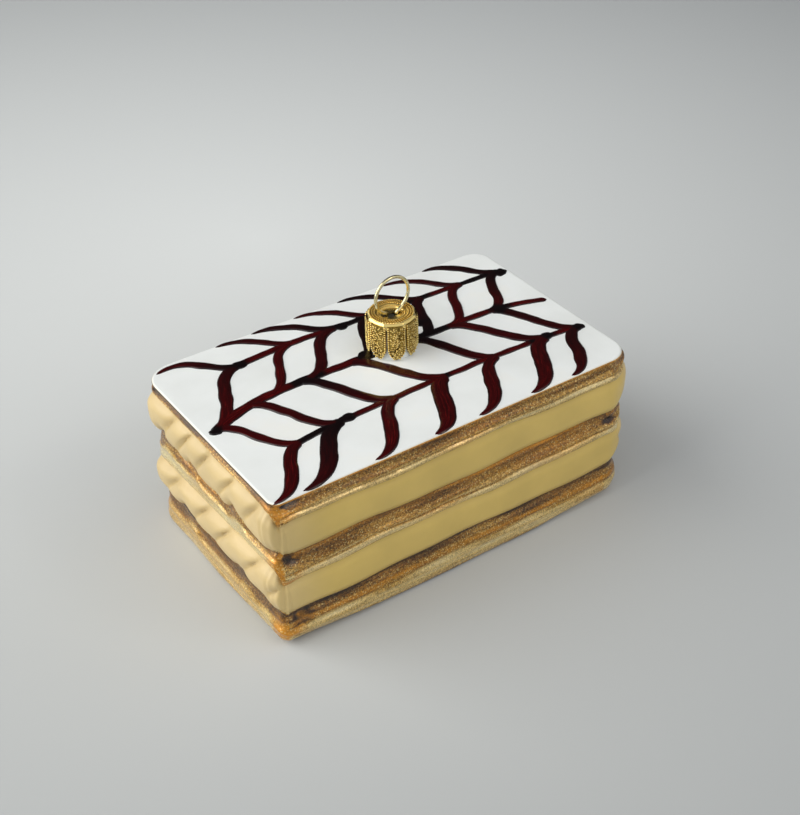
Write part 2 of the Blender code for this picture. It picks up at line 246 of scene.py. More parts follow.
def floorMaterial():
    # matt paper: no gloss; its tone is a painted pool of light, pale round a bright spot and deeper away from
    # it
    material, shader = newMaterial("matt backdrop paper", {"Roughness": 0.85, "Specular IOR Level": 0.2})
    place = addNode(material, "ShaderNodeTexCoord")
    shift = addNode(material, "ShaderNodeMapping", {"vector_type": "TEXTURE",
                    "Location": (*studio["paintedLightSpot"], 0.0),
                    "Scale": (studio["paintedLightReach"],) * 3}, {"Vector": place.outputs["Object"]})
    glow = addNode(material, "ShaderNodeTexGradient", {"gradient_type": "SPHERICAL"},
                   {"Vector": shift.outputs["Vector"]})
    tone = addNode(material, "ShaderNodeValToRGB", None, {"Fac": glow.outputs["Fac"]})
    rampStops(tone, ((0.0, studio["floorPaintedShade"]), (1.0, studio["floorPaintedLit"])))
    link(material, tone.outputs["Color"], shader.inputs["Base Color"])
    return material


def makeStudio():
    scene = bpy.context.scene
    scene.view_settings.view_transform = "Standard"
    world = bpy.data.worlds.new("softStudio")
    scene.world = world
    world.use_nodes = True
    sky = world.node_tree.nodes["Background"]
    sky.inputs["Color"].default_value = linear(studio["skyColour"])
    place = addNode(world, "ShaderNodeTexCoord")
    facing = addNode(world, "ShaderNodeVectorMath", {"operation": "DOT_PRODUCT", 1: studio["darkSide"]},
                     {0: place.outputs["Generated"]})
    strength = addNode(world, "ShaderNodeMapRange", {"interpolation_type": "SMOOTHSTEP", "From Min": 0.55,
                       "From Max": 0.85, "To Min": studio["sky"], "To Max": studio["darkWall"]},
                       {"Value": facing.outputs["Value"]})
    link(world, strength.outputs["Result"], sky.inputs["Strength"])
    for lamp in studio["lamps"]:
        addLamp(*lamp)
    deselectAll()
    bpy.ops.mesh.primitive_plane_add(size=studio["floorSize"])
    floor = bpy.context.object
    floor.name = "floor"
    floor.data.materials.append(floorMaterial())


makeCamera()
makeStudio()
print("camera, light and floor ready")

# The glass slice, in millimetres

glass = {
    "length": 100.0,
    "depth": 61.6,
    "height": 42.0,
    "icing": 0.7,
    # side in x, side in y, radius, radius of the foot under it
    "corners": ((1, -1, 6.0, 4.2), (1, 1, 5.0, 2.0), (-1, 1, 7.0, 1.5), (-1, -1, 2.4, 4.4)),
    "cornerSteps": 12,
    "longSteps": 166,
    "endSteps": 136,
    "longSeams": (0.0, 9.8, 19.1, 26.3, 35.7, 41.3),    # heights where one layer meets the next
    "endSeams": (0.0, 10.8, 21.2, 27.6, 39.4, 41.3),
    # how much higher each seam is at the front of an end than at its back
    "endTilts": (0.0, 0.0, 3.2, -1.0, 0.0, 0.0),
    "seamWave": 0.35,
    "footRadius": 0.9,
    "footReach": 36.0,
    "foot": ((0.0, 0.7), (0.06, 0.6), (0.16, 0.53), (0.3, 0.5)),           # height, how far in
    "layerRows": (30, 16, 27, 16, 20),
    # the rim: depth under the top, how far in
    "edge": ((0.7, 0.05), (0.55, 0.0), (0.42, 0.02), (0.3, 0.08), (0.2, 0.16), (0.12, 0.25), (0.06, 0.35),
             (0.02, 0.46), (0.0, 0.6), (0.0, 0.8)),
    "whiteDepth": 0.31,     # the white paint ends this far down
    "topRows": 6,
    # neck under the cap: radius, height over the top
    "neck": ((5.2, 0.0), (5.2, 3.5), (5.2, 7.0), (5.0, 7.2), (4.1, 7.2), (3.9, 7.0), (3.9, 1.0), (3.9, -6.0)),
    # creases on each cream's ends, from the back; how far they slant forwards a millimetre up
    "creases": ((11.5, 25.5, 35.5, 48.5, 59.0), (13.0, 20.5, 29.5, 40.5, 51.5)),
    "creaseSlant": (1.0, 0.85),
    "creaseDepth": 1.6,
    "creaseSharpness": 4.2,
    "creasePeak": 0.7,
    # where pastry rises into each cream on the ends: from the back, how high, how far to each side
    "peaks": (((18.0, 2.4, 5.0), (45.0, 1.2, 5.0)), ((10.0, 2.6, 4.5), (24.0, 1.8, 4.0), (44.0, 3.2, 5.0))),
    # hollows in each pastry along the front, darkened with painted shade: from the left end, share of the
    # height, reach of each
    "pockets": (((5.5, 0.72, 3.5, 0.28),), ((4.0, 0.8, 3.0, 0.3), (94.5, 0.65, 3.0, 0.2)),
                ((4.5, 0.86, 3.5, 0.22),)),
    "rightLip": 0.8,
    "lobeBulge": 0.35,
    # how much higher each seam is at the front left corner, and how far from it that reaches
    "cornerShifts": (0.0, -0.7, -0.4, 0.8, -1.2, 0.0),
    "cornerReach": 5.0,
    "leafSwell": 0.24,
    "gritSwell": 0.07,
    "pocketDepth": 0.75,
    "amberReach": (8.0, 7.0),       # from the front left corner and from the back left corner
    "glowReach": 7.0,
    "paleReach": 15.0,
    "paleShare": 0.7,
    "creamCorner": 0.85,
}
# Outline of a layer upwards: share of its height, then swell on a long side and swell on an end
pastryLong = ((0.0, -0.6), (0.05, 0.0), (0.13, 0.38), (0.24, 0.42), (0.33, 0.02), (0.42, 0.28), (0.5, 0.1),
              (0.64, -0.35), (0.8, -0.62), (0.93, -0.85), (1.0, -0.8))
pastryEnd = ((0.0, -0.5), (0.06, 0.0), (0.18, 0.28), (0.36, 0.1), (0.46, 0.12), (0.56, -0.3), (0.75, -0.55),
             (0.93, -0.9), (1.0, -0.7))
footLong = ((0.0, -0.3), (0.05, 0.1), (0.2, 0.35), (0.42, 0.32), (0.52, -0.02), (0.6, 0.12), (0.7, -0.18),
            (0.8, -0.45), (0.93, -0.85), (1.0, -0.8))
creamLong = ((0.0, -0.75), (0.05, -0.25), (0.2, 0.28), (0.5, 0.42), (0.8, 0.3), (0.94, -0.15), (1.0, -0.6))
creamEnd = ((0.0, -0.4), (0.06, 0.3), (0.26, 1.3), (0.5, 1.6), (0.76, 1.5), (0.92, 0.5), (1.0, -0.5))
# How brown the pastry's paint is upwards, 0 pale champagne and 1 dark: long sides, then ends
toastLong = (
    ((0.0, 1.0), (0.05, 0.7), (0.11, 0.36), (0.3, 0.28), (0.5, 0.34), (0.58, 0.64), (0.75, 0.7), (0.9, 0.85),
     (1.0, 1.0)),
    ((0.0, 0.85), (0.05, 0.6), (0.1, 0.22), (0.27, 0.18), (0.34, 0.62), (0.42, 0.35), (0.5, 0.6),
     (0.75, 0.72), (0.92, 0.85), (1.0, 1.0)),
    ((0.0, 0.8), (0.06, 0.5), (0.12, 0.3), (0.3, 0.25), (0.36, 0.6), (0.43, 0.42), (0.52, 0.68), (0.85, 0.7),
     (1.0, 0.6)),
)
toastEnd = (
    ((0.0, 0.55), (0.08, 0.3), (0.15, 0.15), (0.5, 0.2), (0.6, 0.6), (0.7, 0.85), (0.95, 0.85), (1.0, 0.8)),
    ((0.0, 0.55), (0.08, 0.1), (0.45, 0.12), (0.56, 0.6), (0.9, 0.75), (1.0, 0.9)),
    ((0.0, 0.45), (0.3, 0.6), (0.5, 0.95), (1.0, 1.0)),
)


def onTop(along, inwards):
    # a place on the top, from the left end and the front edge, as x and y
    return along - glass["length"] / 2, inwards - glass["depth"] / 2


def outlineStations():
    # places and outward directions round the slice, anticlockwise seen from above
    arcs = []
    for index, (sideX, sideY, radius, footRadius) in enumerate(glass["corners"]):
        centre = Vector((sideX * (glass["length"] / 2 - radius), sideY * (glass["depth"] / 2 - radius)))
        arc = []
        for step in range(glass["cornerSteps"] + 1):
            angle = math.radians(90.0 * (index - 1 + step / glass["cornerSteps"]))
            outward = Vector((math.cos(angle), math.sin(angle)))
            arc.append((centre + outward * radius, outward))
        arcs.append(arc)
    stations = []
    for index, arc in enumerate(arcs):
        stations.extend(arc[:-1])
        steps = glass["endSteps"] if index % 2 == 0 else glass["longSteps"]
        start, outward = arc[-1]
        finish = arcs[(index + 1) % len(arcs)][0][0]
        for step in range(steps):
            stations.append((start.lerp(finish, step / steps), outward))
    places = np.array([place for place, outward in stations])
    outwards = np.array([outward for place, outward in stations])
    return places, outwards


def addTube(name, sides, rings):
    # an open cylinder cut into rings: its upright edges are subdivided twice
    deselectAll()
    bpy.ops.mesh.primitive_cylinder_add(vertices=sides, radius=0.05, depth=1.0, end_fill_type="NOTHING")
    tube = bpy.context.object
    tube.name = name
    bpy.ops.object.mode_set(mode="EDIT")
    bpy.ops.mesh.select_mode(type="EDGE")
    spans = rings - 1
    first = next(share for share in (10, 9, 8, 7, 6, 5, 4, 3, 2, 1) if spans % share == 0)
    for cuts in (first - 1, spans // first - 1):
        if cuts < 1:
            continue
        shape = bmesh.from_edit_mesh(tube.data)
        for edge in shape.edges:
            low, high = edge.verts
            edge.select_set(abs(low.co.z - high.co.z) > 0.5 / spans)
        bmesh.update_edit_mesh(tube.data)
        bpy.ops.mesh.subdivide(number_cuts=cuts)
    bpy.ops.object.mode_set(mode="OBJECT")
    points = getPoints(tube)
    around = np.rint(np.arctan2(points[:, 1], points[:, 0]) / (2 * math.pi) * sides).astype(int) % sides
    ring = np.rint((points[:, 2] + 0.5) * spans).astype(int)
    return tube, around, ring


def closeEnds(piece):
    activate(piece)
    bpy.ops.object.mode_set(mode="EDIT")
    bpy.ops.mesh.select_mode(type="EDGE")
    bpy.ops.mesh.select_all(action="DESELECT")
    bpy.ops.mesh.select_non_manifold(extend=False)
    bpy.ops.mesh.edge_face_add()
    bpy.ops.mesh.select_all(action="SELECT")
    bpy.ops.mesh.normals_make_consistent(inside=False)
    bpy.ops.object.mode_set(mode="OBJECT")


def layerPlan():
    # one entry for each ring of the slice: what it belongs to, and its share of that
    plan = [("foot", index, 0.0) for index in range(len(glass["foot"]))]
    for layer, rows in enumerate(glass["layerRows"]):
        for row in range(rows):
            plan.append(("cream" if layer % 2 else "pastry", layer, (row + 0.5) / rows))
    plan += [("edge", index, 0.0) for index in range(len(glass["edge"]))]
    plan += [("top", 0, (row + 1) / (glass["topRows"] + 1)) for row in range(glass["topRows"])]
    plan += [("neck", index, 0.0) for index in range(len(glass["neck"]))]
    return plan


def footInset(places, height):
    # how far the rounding of the foot pulls the side in, more so towards the corners
    radius = np.full(len(places), glass["footRadius"])
    for sideX, sideY, size, footRadius in glass["corners"]:
        corner = np.array((sideX * glass["length"], sideY * glass["depth"])) / 2
        near = smoothStep(1.0 - np.hypot(*(places - corner).T) / glass["footReach"])
        radius = np.maximum(radius, mix(glass["footRadius"], footRadius, near))
    below = np.maximum(radius - height, 0.0)
    return radius - np.sqrt(radius * radius - below * below)


def seamHeights(seam, places, endShare, fromCorner, creaseLine):
    level = mix(glass["longSeams"][seam], glass["endSeams"][seam], endShare)
    if seam in (0, len(glass["endSeams"]) - 1):
        return level
    level = level + glass["cornerShifts"][seam] * hump(fromCorner, glass["cornerReach"])
    wave = np.sin(places[:, 0] * 0.11 + seam * 1.7) + 0.5 * np.sin(places[:, 0] * 0.29 + seam)
    level = level + glass["seamWave"] * wave * (1.0 - endShare)
    level = level - glass["endTilts"][seam] * places[:, 1] / glass["depth"] * endShare
    if seam % 2 == 1:
        lobe = np.abs(np.sin(math.pi * creaseLine(level, (seam - 1) // 2)))
        level = level + glass["creasePeak"] * (1.0 - lobe) ** 1.6 * endShare
        for fromBack, tall, reach in glass["peaks"][(seam - 1) // 2]:
            level = level + tall * hump(glass["depth"] / 2 - places[:, 1] - fromBack, reach) * endShare
    return level


def makeGlassSlice():
    places, outwards = outlineStations()
    sides = len(places)
    plan = layerPlan()
    tube, around, ringOf = addTube("glassSlice", sides, len(plan))
    endShare = smoothStep((np.abs(outwards[:, 0]) - 0.45) / 0.55)
    corner = np.array((-glass["length"] / 2, -glass["depth"] / 2))
    fromCorner = np.hypot(*(places - corner).T)
    fromBackCorner = np.hypot(*(places - corner * (1, -1)).T)
    steps = np.hypot(*(places - np.roll(places, 1, axis=0)).T)
    perimeter = np.cumsum(steps)
    alongSide = np.where(endShare > 0.5, places[:, 1], places[:, 0]) + glass["length"] / 2

    def creaseLine(height, band):
        # whole numbers at the creases between the lobes, which slant forwards as they rise
        fromBack = glass["depth"] / 2 - places[:, 1]
        middle = (glass["endSeams"][2 * band + 1] + glass["endSeams"][2 * band + 2]) / 2
        creases = (-9.0,) + glass["creases"][band] + (68.0, 78.0)
        upright = fromBack - glass["creaseSlant"][band] * (height - middle)
        return np.interp(upright, creases, range(len(creases)))

    seams = [seamHeights(seam, places, endShare, fromCorner, creaseLine) for seam in range(6)]
    grid = np.zeros((len(plan), sides, 3))
    toastAndShade = np.zeros((len(plan), sides))
    amber = np.zeros((len(plan), sides))
    shade = np.zeros((len(plan), sides))
    capCentre = np.array(crown["place"])
    towards = places - capCentre
    towards = towards / np.hypot(*towards.T)[:, None]
    for row, (part, index, share) in enumerate(plan):
        flat = places.copy()
        if part == "foot":
            height, inset = glass["foot"][index]
            flat = places - outwards * (inset + footInset(places, height))[:, None]
            level = np.full(sides, height)
            toastAndShade[row] = 1.0
        elif part == "edge":
            depth, inset = glass["edge"][index]
            flat = places - outwards * inset
            level = np.full(sides, glass["height"] - depth)
            toastAndShade[row] = mix(0.7, 1.0, endShare)
            amber[row] = 0.8 * (1.0 - endShare)
        elif part == "top":
            inner = capCentre + towards * glass["neck"][0][0]
            flat = mix(places - outwards * glass["edge"][-1][1], inner, share)
            level = np.full(sides, glass["height"])
        elif part == "neck":
            radius, rise = glass["neck"][index]
            flat = capCentre + towards * radius
            level = np.full(sides, glass["height"] + rise)
        else:
            low, high = seams[index], seams[index + 1]
            level = mix(low, high, share)
            depthNoise = noiseField(perimeter * 0.035, level * 0.11, np.full(sides, index * 7.0))
            if part == "pastry":
                longSwell = curveAt(footLong if index == 0 else pastryLong, share)
                swell = mix(longSwell, curveAt(pastryEnd, share), endShare) * (1.0 + 0.3 * depthNoise)
                flaky = noiseField(perimeter * 0.07, level * 1.15, np.full(sides, 3.0 + index))
                grit = noiseField(perimeter * 0.55, level * 1.5, np.full(sides, 11.0))
                swell = swell + glass["leafSwell"] * flaky + glass["gritSwell"] * grit
                band = index // 2
                pocket = np.zeros(sides)
                for along, up, wide, tall in glass["pockets"][band]:
                    pocket += hump(places[:, 0] + glass["length"] / 2 - along, wide) * hump(share - up, tall)
                pocket = pocket * (outwards[:, 1] < -0.5)
                lip = glass["rightLip"] * endShare * (outwards[:, 0] > 0) * math.sin(math.pi * share)
                swell = swell - glass["pocketDepth"] * pocket + lip
                # clear amber spots with dark outlines gather at the left corners
                spot = noiseField(perimeter * 0.24, level * 0.33, np.full(sides, 31.0 + index))
                frontReach, backReach = glass["amberReach"]
                gathered = np.maximum(hump(fromCorner, frontReach), hump(fromBackCorner, backReach))
                tone = mix(curveAt(toastLong[band], share), curveAt(toastEnd[band], share), endShare)
                outline = 0.8 * gathered * hump(spot - 0.04, 0.1)
                # painted shade darkens the pastry in its hollows
                toastAndShade[row] = tone + 0.28 * flaky + 0.12 * depthNoise + 0.9 * pocket + outline
                glow = hump(fromCorner, glass["glowReach"]) * hump(share - 0.45, 0.5)
                glow = glow * (outwards[:, 0] < -0.3)
                # painted highlight: an amber line along a lip of each pastry on the long sides, in patches
                line = hump(share - (0.66 if index == 0 else 0.93), 0.1) * (1.0 - endShare)
                slow = noiseField(perimeter * 0.03, level * 0, np.full(sides, index))
                highlightPatch = smoothStep(0.45 + 0.9 * slow)
                clear = gathered * smoothStep((spot - 0.1) / 0.12)
                amber[row] = np.clip(glow + line * highlightPatch + clear + 0.35 * np.clip(depthNoise, 0, 1), 0, 1)
            else:
                swell = mix(curveAt(creamLong, share), curveAt(creamEnd, share), endShare)
                lobe = np.abs(np.sin(math.pi * creaseLine(level, index // 2)))
                crease = (1.0 - lobe) ** glass["creaseSharpness"] * math.sin(math.pi * share ** 2)
                # painted shade for the creases on the ends, which the cream's finish reads
                shade[row] = crease * endShare
                bulge = (lobe - 0.5) * math.sin(math.pi * share)
                swell = swell - (glass["creaseDepth"] * crease - glass["lobeBulge"] * bulge) * endShare ** 2
                swell = swell + 0.09 * depthNoise
                rounded = hump(fromCorner, glass["cornerReach"]) * glass["creamCorner"]
                ribs = 0.2 * np.sin(alongSide * 4.1) * hump(fromCorner - 2.6, 2.4)
                swell = swell - rounded + ribs
            flat = places + outwards * (swell - footInset(places, level))[:, None]
        grid[row, :, :2] = flat
        grid[row, :, 2] = level
    setPoints(tube, grid[ringOf, around] * mm)
    addPointAttribute(tube, "toastAndShade", np.clip(toastAndShade, 0, 1)[ringOf, around])
    addPointAttribute(tube, "amber", amber[ringOf, around])
    pale = np.maximum(endShare, glass["paleShare"] * hump(fromCorner, glass["paleReach"]))
    addPointAttribute(tube, "pale", np.broadcast_to(pale, toastAndShade.shape)[ringOf, around])
    addPointAttribute(tube, "crease", shade[ringOf, around])
    depths = [glass["edge"][index][0] if part == "edge" else 0.0 for part, index, share in plan]
    rim = smoothStep(np.array(depths) / glass["whiteDepth"])
    addPointAttribute(tube, "edge", np.broadcast_to(rim[:, None], toastAndShade.shape)[ringOf, around])
    closeEnds(tube)
    finishOf = {"foot": 0, "pastry": 0, "cream": 1, "edge": 2, "top": 2, "neck": 2}
    finishes = [0 if depth > glass["whiteDepth"] else finishOf[part]
                for depth, (part, index, share) in zip(depths, plan)]
    for material in (glitterPastry(), pearlCream(), icingEnamel()):
        tube.data.materials.append(material)
    for face in tube.data.polygons:
        rings = [ringOf[vertex] for vertex in face.vertices]
        face.material_index = finishes[min(rings)] if len(rings) == 4 else 0
    smoothShade(tube, 60.0)
    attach(tube, "root")
    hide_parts("glass_body")
    return tube


# Finishes of the slice

grain = {
    "flake": 0.27,      # mm across one glitter flake
    "leaf": 1.5,        # mm between the fine ridges of the pastry leaves
    "brush": 1.1,       # mm between brush marks
}


def attributeNode(material, name):
    return addNode(material, "ShaderNodeAttribute", {"attribute_name": name}).outputs["Fac"]


def glitterPastry():
    # bronze and champagne glitter under clear lacquer on glass: grainy painted glints on a satin metal ground
    material, shader = newMaterial("glitter lacquer on glass", {"Metallic": 0.5, "Coat Weight": 0.5,
                                   "Coat Roughness": 0.12})
    place = addNode(material, "ShaderNodeTexCoord")
    brownedAndShaded = attributeNode(material, "toastAndShade")
    polish = addNode(material, "ShaderNodeMapRange", {"To Min": 0.24, "To Max": 0.46}, {"Value": brownedAndShaded})
    link(material, polish.outputs["Result"], shader.inputs["Roughness"])
    flakes = addNode(material, "ShaderNodeTexVoronoi", {"Scale": 1 / (grain["flake"] * mm)},
                     {"Vector": place.outputs["Object"]})
    split = addNode(material, "ShaderNodeSeparateColor", None, {"Color": flakes.outputs["Color"]})
    ground = addNode(material, "ShaderNodeValToRGB", None, {"Fac": brownedAndShaded})
    rampStops(ground, ((0.0, "#e0cf9c"), (0.25, "#cdb274"), (0.5, "#a57e36"), (0.75, "#7c5318"),
                       (1.0, "#281506")))
    # amber tint: partly the real clear glass, and partly a painted highlight along the pastry lips
    warm = addNode(material, "ShaderNodeMix", {"data_type": "RGBA", 7: linear("#b87a14")},
                   {0: attributeNode(material, "amber"), 6: ground.outputs["Color"]})
    # pale lips are an even satin, dark bronze is full of single flakes
    low = addNode(material, "ShaderNodeMapRange", {"To Min": 0.8, "To Max": 0.2}, {"Value": brownedAndShaded})
    high = addNode(material, "ShaderNodeMapRange", {"To Min": 1.2, "To Max": 2.1}, {"Value": brownedAndShaded})
    light = addNode(material, "ShaderNodeMapRange", None, {"Value": split.outputs["Red"],
                    "To Min": low.outputs["Result"], "To Max": high.outputs["Result"]})
    toned = addNode(material, "ShaderNodeMix", {"data_type": "RGBA", "blend_type": "MULTIPLY", 0: 1.0},
                    {6: warm.outputs[2], 7: light.outputs["Result"]})
    # where the brown paint is missing the glass shows through, smooth and amber; the same amber lays the
    # painted highlight along the pastry lips
    bare = addNode(material, "ShaderNodeMath", {"operation": "MULTIPLY", 1: 0.75},
                   {0: attributeNode(material, "amber")})
    clear = addNode(material, "ShaderNodeMix", {"data_type": "RGBA", 7: linear("#cf8a1e")},
                    {0: bare.outputs["Value"], 6: toned.outputs[2]})
    # thin brown lines where one leaf of pastry ends on the next
    layered = addNode(material, "ShaderNodeMapping", {"Scale": (0.05, 0.05, 1.0)},
                      {"Vector": place.outputs["Object"]})
    leaves = addNode(material, "ShaderNodeTexNoise", {"Scale": 1 / (grain["leaf"] * mm), "Detail": 1.0},
                     {"Vector": layered.outputs["Vector"]})
    centred = addNode(material, "ShaderNodeMath", {"operation": "SUBTRACT", 1: 0.5},
                      {0: leaves.outputs["Fac"]})
    apart = addNode(material, "ShaderNodeMath", {"operation": "ABSOLUTE"}, {0: centred.outputs["Value"]})
    inBrown = addNode(material, "ShaderNodeMapRange", {"From Min": 0.35, "From Max": 0.65, "To Min": 0.0,
                      "To Max": 0.4}, {"Value": brownedAndShaded})
    line = addNode(material, "ShaderNodeMapRange", {"From Min": 0.0, "From Max": 0.03, "To Max": 0.0},
                   {"Value": apart.outputs["Value"], "To Min": inBrown.outputs["Result"]})
    lined = addNode(material, "ShaderNodeMix", {"data_type": "RGBA", 7: linear("#5a3a14")},
                    {0: line.outputs["Result"], 6: clear.outputs[2]})
    # painted glints: the brightest flakes are painted pale gold, most on the paler pastry
    glintStrength = addNode(material, "ShaderNodeMapRange", {"From Min": 0.6, "From Max": 0.95, "To Min": 0.8,
                        "To Max": 0.08}, {"Value": brownedAndShaded})
    paintedGlint = addNode(material, "ShaderNodeMapRange", {"From Min": 0.8, "From Max": 1.0, "To Min": 0.0},
                    {"Value": split.outputs["Green"], "To Max": glintStrength.outputs["Result"]})
    glintPainted = addNode(material, "ShaderNodeMix", {"data_type": "RGBA", 7: linear("#ecd086")},
                      {0: paintedGlint.outputs["Result"], 6: lined.outputs[2]})
    link(material, glintPainted.outputs[2], shader.inputs["Base Color"])
    ridges = addNode(material, "ShaderNodeBump", {"Distance": 0.6 * mm},
                     {"Height": leaves.outputs["Fac"], "Strength": inBrown.outputs["Result"]})
    tilt = addNode(material, "ShaderNodeBump", {"Strength": 0.35, "Distance": 0.07 * mm},
                   {"Height": split.outputs["Blue"], "Normal": ridges.outputs["Normal"]})
    link(material, tilt.outputs["Normal"], shader.inputs["Normal"])
    return material


def pearlCream():
    # pearl enamel brushed on glass: even and satin, with a slow change of depth
    material, shader = newMaterial("pearl cream enamel", {"Roughness": 0.4, "Coat Weight": 0.15,
                                   "Coat Roughness": 0.25})
    place = addNode(material, "ShaderNodeTexCoord")
    body = addNode(material, "ShaderNodeMix", {"data_type": "RGBA", 6: linear("#d2b562"),
                   7: linear("#cfb680")}, {0: attributeNode(material, "pale")})
    cloud = addNode(material, "ShaderNodeTexNoise", {"Scale": 90.0, "Detail": 3.0},
                    {"Vector": place.outputs["Object"]})
    depth = addNode(material, "ShaderNodeMapRange", {"From Min": 0.3, "From Max": 0.7, "To Min": 0.93,
                    "To Max": 1.06}, {"Value": cloud.outputs["Fac"]})
    toned = addNode(material, "ShaderNodeMix", {"data_type": "RGBA", "blend_type": "MULTIPLY", 0: 1.0},
                    {6: body.outputs[2], 7: depth.outputs["Result"]})
    # painted shade: the cream is darkened in the creases of its ends
    hollowShade = addNode(material, "ShaderNodeMath", {"operation": "MULTIPLY", 1: 0.22},
                     {0: attributeNode(material, "crease")})
    creaseShaded = addNode(material, "ShaderNodeMix", {"data_type": "RGBA", 7: linear("#8a6c34")},
                      {0: hollowShade.outputs["Value"], 6: toned.outputs[2]})
    link(material, creaseShaded.outputs[2], shader.inputs["Base Color"])
    skin = addNode(material, "ShaderNodeTexNoise", {"Scale": 420.0, "Detail": 4.0},
                   {"Vector": place.outputs["Object"]})
    soft = addNode(material, "ShaderNodeBump", {"Strength": 0.25, "Distance": 0.1 * mm},
                   {"Height": skin.outputs["Fac"]})
    link(material, soft.outputs["Normal"], shader.inputs["Normal"])
    return material


def icingEnamel():
    # white enamel brushed along the top: satin, with faint strokes and creamy blotches
    material, shader = newMaterial("white brushed enamel", {"Roughness": 0.34})
    place = addNode(material, "ShaderNodeTexCoord")
    blotch = addNode(material, "ShaderNodeTexNoise", {"Scale": 55.0, "Detail": 4.0},
                     {"Vector": place.outputs["Object"]})
    tone = addNode(material, "ShaderNodeValToRGB", None, {"Fac": blotch.outputs["Fac"]})
    rampStops(tone, ((0.3, "#e9ece8"), (0.55, "#f1f4f1"), (0.75, "#f4f3ea")))
    rim = addNode(material, "ShaderNodeMix", {"data_type": "RGBA", 7: linear("#dcd6bd")},
                  {0: attributeNode(material, "edge"), 6: tone.outputs["Color"]})
    link(material, rim.outputs[2], shader.inputs["Base Color"])
    stretch = addNode(material, "ShaderNodeMapping", {"Scale": (0.12, 1.0, 1.0)},
                      {"Vector": place.outputs["Object"]})
    marks = addNode(material, "ShaderNodeTexNoise", {"Scale": 1 / (grain["brush"] * mm), "Detail": 3.0},
                    {"Vector": stretch.outputs["Vector"]})
    relief = addNode(material, "ShaderNodeBump", {"Strength": 0.3, "Distance": 0.08 * mm},
                     {"Height": marks.outputs["Fac"]})
    link(material, relief.outputs["Normal"], shader.inputs["Normal"])
    return material


# The feather strokes of lacquer, in millimetres from the left end and in from the front edge

feather = {
    "height": 0.38,
    "sink": 0.12,
    "edgeMargin": 0.7,
    "rimRadius": 0.6,
    "rimKeep": 0.15,        # how far inside the rim the lacquer stops
    "sway": 0.18,           # how far the brush strays to each side
    "wobble": 0.14,         # how much its width changes
    "steps": 44,
    "across": 12,
    "rearStem": ((18.0, 50.6), (36.0, 51.6), (60.0, 50.7), (98.0, 49.4)),
    "middleStem": ((2.3, 30.0), (12.4, 34.2), (28.0, 36.0), (64.0, 35.2), (86.0, 34.6), (98.6, 31.0)),
    "frontStem": ((14.5, 15.7), (28.0, 17.2), (60.0, 18.0), (88.0, 17.2), (97.0, 16.0)),
    # widest and narrowest width of a stem, and its near-black stretches
    "stems": {
        "rearStem": (2.7, 2.0, ((16.0, 22.5), (44.5, 60.0), (68.0, 76.0), (84.0, 99.0))),
        "middleStem": (3.5, 2.3, ((26.0, 35.5), (44.5, 50.0), (58.0, 71.0), (83.0, 89.5))),
        "frontStem": (2.2, 2.2, ((16.0, 29.5), (40.0, 43.0), (55.5, 59.0), (82.0, 88.0), (94.5, 98.0))),
    },
    "stemSteps": 120,
    "fade": 1.5,            # over how much of a stem red turns to black
    # along, in from the front, radius
    "pools": ((20.5, 50.6, 2.0), (49.5, 50.6, 1.7), (97.2, 48.6, 1.9), (3.2, 30.4, 1.6), (47.5, 36.6, 2.1),
              (66.5, 40.5, 1.9), (86.0, 33.9, 2.1), (30.0, 17.4, 2.0), (88.0, 17.4, 1.7), (96.6, 16.2, 1.7)),
}
rearEdge = ((2.4, glass["depth"] - 2.9), (9.0, glass["depth"] - feather["edgeMargin"]),
            (glass["length"], glass["depth"] - feather["edgeMargin"]))
frontEdge = ((0.0, feather["edgeMargin"]), (glass["length"], feather["edgeMargin"]))
